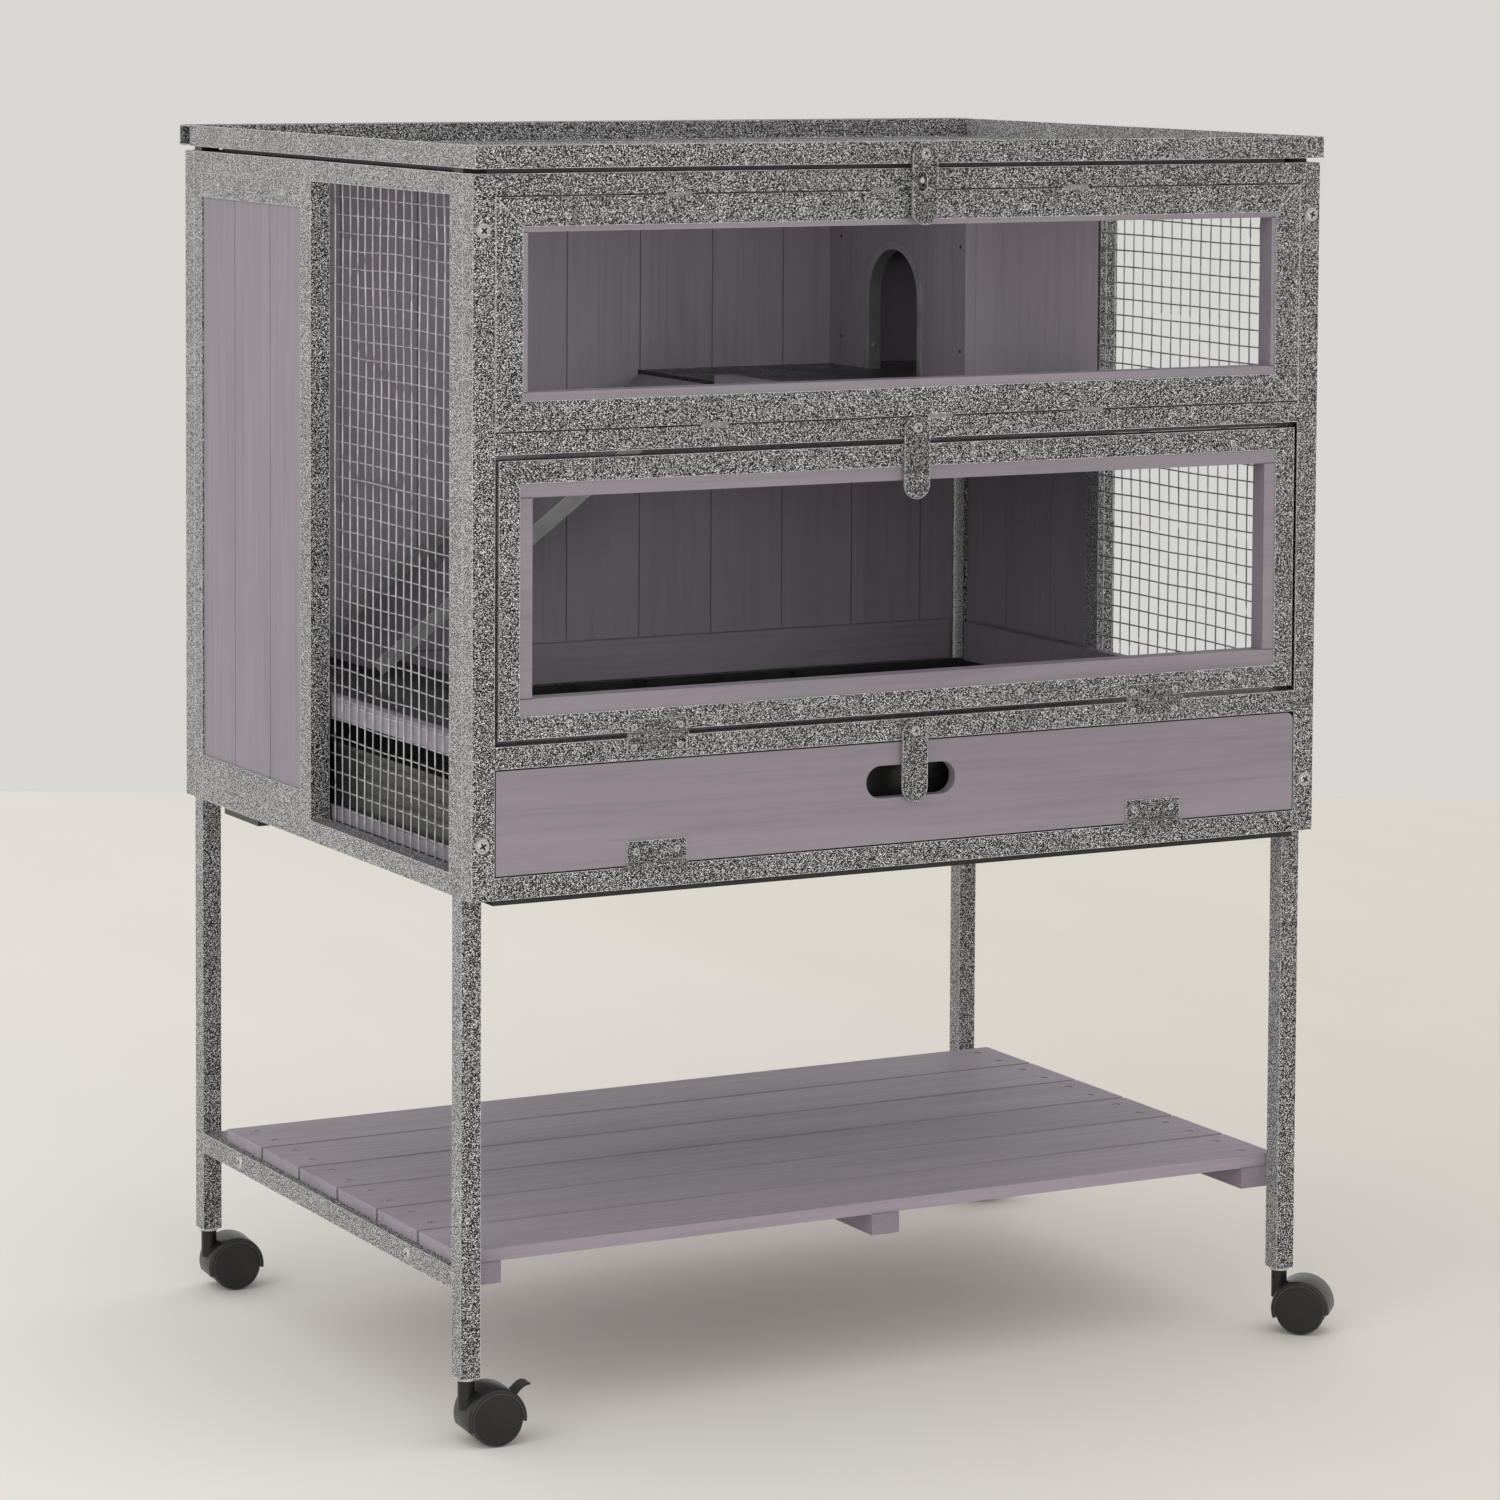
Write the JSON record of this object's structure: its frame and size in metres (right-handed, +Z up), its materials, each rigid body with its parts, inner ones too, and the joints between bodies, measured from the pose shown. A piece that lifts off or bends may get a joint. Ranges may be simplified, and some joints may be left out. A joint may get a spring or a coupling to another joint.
{
  "type": "rabbit hutch",
  "caption": "Two-storey rabbit hutch on castors: steel frames, mesh and board sides, folding glazed door, lift-up roof, ramp, nest box, waste tray and shelf.",
  "frame": {"origin": "on the floor, under the middle of the whole object's bounding box", "axes": "+X to the viewer's right along the front, +Y from the front to the back, +Z up"},
  "size_m": [0.9587, 0.7293, 1.1936],
  "materials": {
    "hammered_steel": "hammered powder coat",
    "smooth_steel": "smooth grey coat",
    "galvanised_wire": "galvanised",
    "stained_wood": "lilac-grey stain",
    "black_plastic": "semi-gloss",
    "zinc": "zinc plated",
    "clear_acrylic": "clear"
  },
  "bodies": {
    "cabinet": {"left_side_frame": "hammered_steel", "right_side_frame": "hammered_steel", "left_mesh": "galvanised_wire", "right_mesh": "galvanised_wire", "side_boards": "stained_wood", "board_strips": "hammered_steel", "front_frame": "hammered_steel", "window_frame": "hammered_steel", "window_lip": "stained_wood", "window_pane": "clear_acrylic", "back_frame": "hammered_steel", "back_boards": "stained_wood", "skirting_boards": "stained_wood", "floor_rails": "stained_wood", "landing_plate": "black_plastic", "upper_floor": "black_plastic", "floor_ledges": "stained_wood", "guard_beam": "stained_wood", "nest_side_wall": "stained_wood", "nest_front_wall": "stained_wood", "arch_trim": "zinc", "ramp_board": "stained_wood", "ramp_rails": "smooth_steel", "waste_tray": "black_plastic", "tray_runners": "stained_wood", "bottom_board": "black_plastic", "shelf_planks": "stained_wood", "shelf_battens": "stained_wood", "shelf_rails": "hammered_steel", "leg_caps": "black_plastic", "leg_sockets": "black_plastic", "corner_bolts": "zinc", "roof_catch_pin": "zinc", "fixed_hinge_leaves": "hammered_steel", "door_latch_screw": "zinc", "castor_stems": "zinc"},
    "roof": {"roof_frame": "hammered_steel", "roof_board": "stained_wood", "roof_hinge_leaves": "hammered_steel", "roof_hook_screw": "zinc"},
    "roof_hook": {"roof_hook": "hammered_steel"},
    "door": {"door_frame": "hammered_steel", "door_lip": "stained_wood", "door_pane": "clear_acrylic", "door_hinge_leaves": "hammered_steel"},
    "door_latch": {"door_latch": "hammered_steel"},
    "flap": {"flap_board": "stained_wood", "flap_hinge_leaves": "hammered_steel", "flap_latch_screw": "zinc"},
    "flap_latch": {"flap_latch": "hammered_steel"},
    "front_left_castor": {"front_left_castor_hood": "black_plastic"},
    "front_left_wheels": {"front_left_castor_wheels": "black_plastic"},
    "front_left_brake_lever": {"front_left_brake": "black_plastic"},
    "back_left_castor": {"back_left_castor_hood": "black_plastic"},
    "back_left_wheels": {"back_left_castor_wheels": "black_plastic"},
    "front_right_castor": {"front_right_castor_hood": "black_plastic"},
    "front_right_wheels": {"front_right_castor_wheels": "black_plastic"},
    "back_right_castor": {"back_right_castor_hood": "black_plastic"},
    "back_right_wheels": {"back_right_castor_wheels": "black_plastic"},
    "back_right_brake_lever": {"back_right_brake": "black_plastic"}
  },
  "joints": [
    {"name": "roof_lid", "type": "hinge", "parent": "cabinet", "child": "roof", "pos_m": [-0.02238, 0.35449, 1.1688], "axis": [-1, 0, 0], "range_deg": [0, 100]},
    {"name": "roof_hook_turn", "type": "hinge", "parent": "roof", "child": "roof_hook", "pos_m": [-0.01738, -0.35231, 1.1821], "axis": [0, -1, 0], "range_deg": [0, 100]},
    {"name": "door_fold", "type": "hinge", "parent": "cabinet", "child": "door", "pos_m": [-0.02238, -0.34751, 0.6495], "axis": [1, 0, 0], "range_deg": [0, 150]},
    {"name": "door_latch_turn", "type": "hinge", "parent": "cabinet", "child": "door_latch", "pos_m": [-0.02038, -0.34651, 0.92375], "axis": [0, 1, 0], "range_deg": [-100, 100]},
    {"name": "flap_fold", "type": "hinge", "parent": "cabinet", "child": "flap", "pos_m": [-0.02238, -0.34751, 0.52925], "axis": [1, 0, 0], "range_deg": [0, 150]},
    {"name": "flap_latch_turn", "type": "hinge", "parent": "flap", "child": "flap_latch", "pos_m": [-0.02038, -0.34651, 0.63625], "axis": [0, 1, 0], "range_deg": [-100, 100]},
    {"name": "front_left_swivel", "type": "hinge", "parent": "cabinet", "child": "front_left_castor", "pos_m": [-0.46938, -0.31201, 0.063], "axis": [0, 0, 1], "continuous": true},
    {"name": "front_left_spin", "type": "hinge", "parent": "front_left_castor", "child": "front_left_wheels", "pos_m": [-0.44544, -0.31369, 0.025], "axis": [0.0698, 0.9976, 0], "continuous": true},
    {"name": "front_left_brake_press", "type": "hinge", "parent": "front_left_castor", "child": "front_left_brake_lever", "pos_m": [-0.43031, -0.31474, 0.05352], "axis": [-0.0698, -0.9976, 0], "range_deg": [0, 15]},
    {"name": "back_left_swivel", "type": "hinge", "parent": "cabinet", "child": "back_left_castor", "pos_m": [-0.46938, 0.31749, 0.063], "axis": [0, 0, 1], "continuous": true},
    {"name": "back_left_spin", "type": "hinge", "parent": "back_left_castor", "child": "back_left_wheels", "pos_m": [-0.44551, 0.31498, 0.025], "axis": [0.1045, 0.9945, 0], "continuous": true},
    {"name": "front_right_swivel", "type": "hinge", "parent": "cabinet", "child": "front_right_castor", "pos_m": [0.42462, -0.31201, 0.063], "axis": [0, 0, 1], "continuous": true},
    {"name": "front_right_spin", "type": "hinge", "parent": "front_right_castor", "child": "front_right_wheels", "pos_m": [0.44217, -0.32838, 0.025], "axis": [0.682, 0.7314, 0], "continuous": true},
    {"name": "back_right_swivel", "type": "hinge", "parent": "cabinet", "child": "back_right_castor", "pos_m": [0.42462, 0.31749, 0.063], "axis": [0, 0, 1], "continuous": true},
    {"name": "back_right_spin", "type": "hinge", "parent": "back_right_castor", "child": "back_right_wheels", "pos_m": [0.4394, 0.29857, 0.025], "axis": [0.788, 0.6157, 0], "continuous": true},
    {"name": "back_right_brake_press", "type": "hinge", "parent": "back_right_castor", "child": "back_right_brake_lever", "pos_m": [0.44873, 0.28663, 0.05352], "axis": [-0.788, -0.6157, 0], "range_deg": [0, 15]}
  ]
}
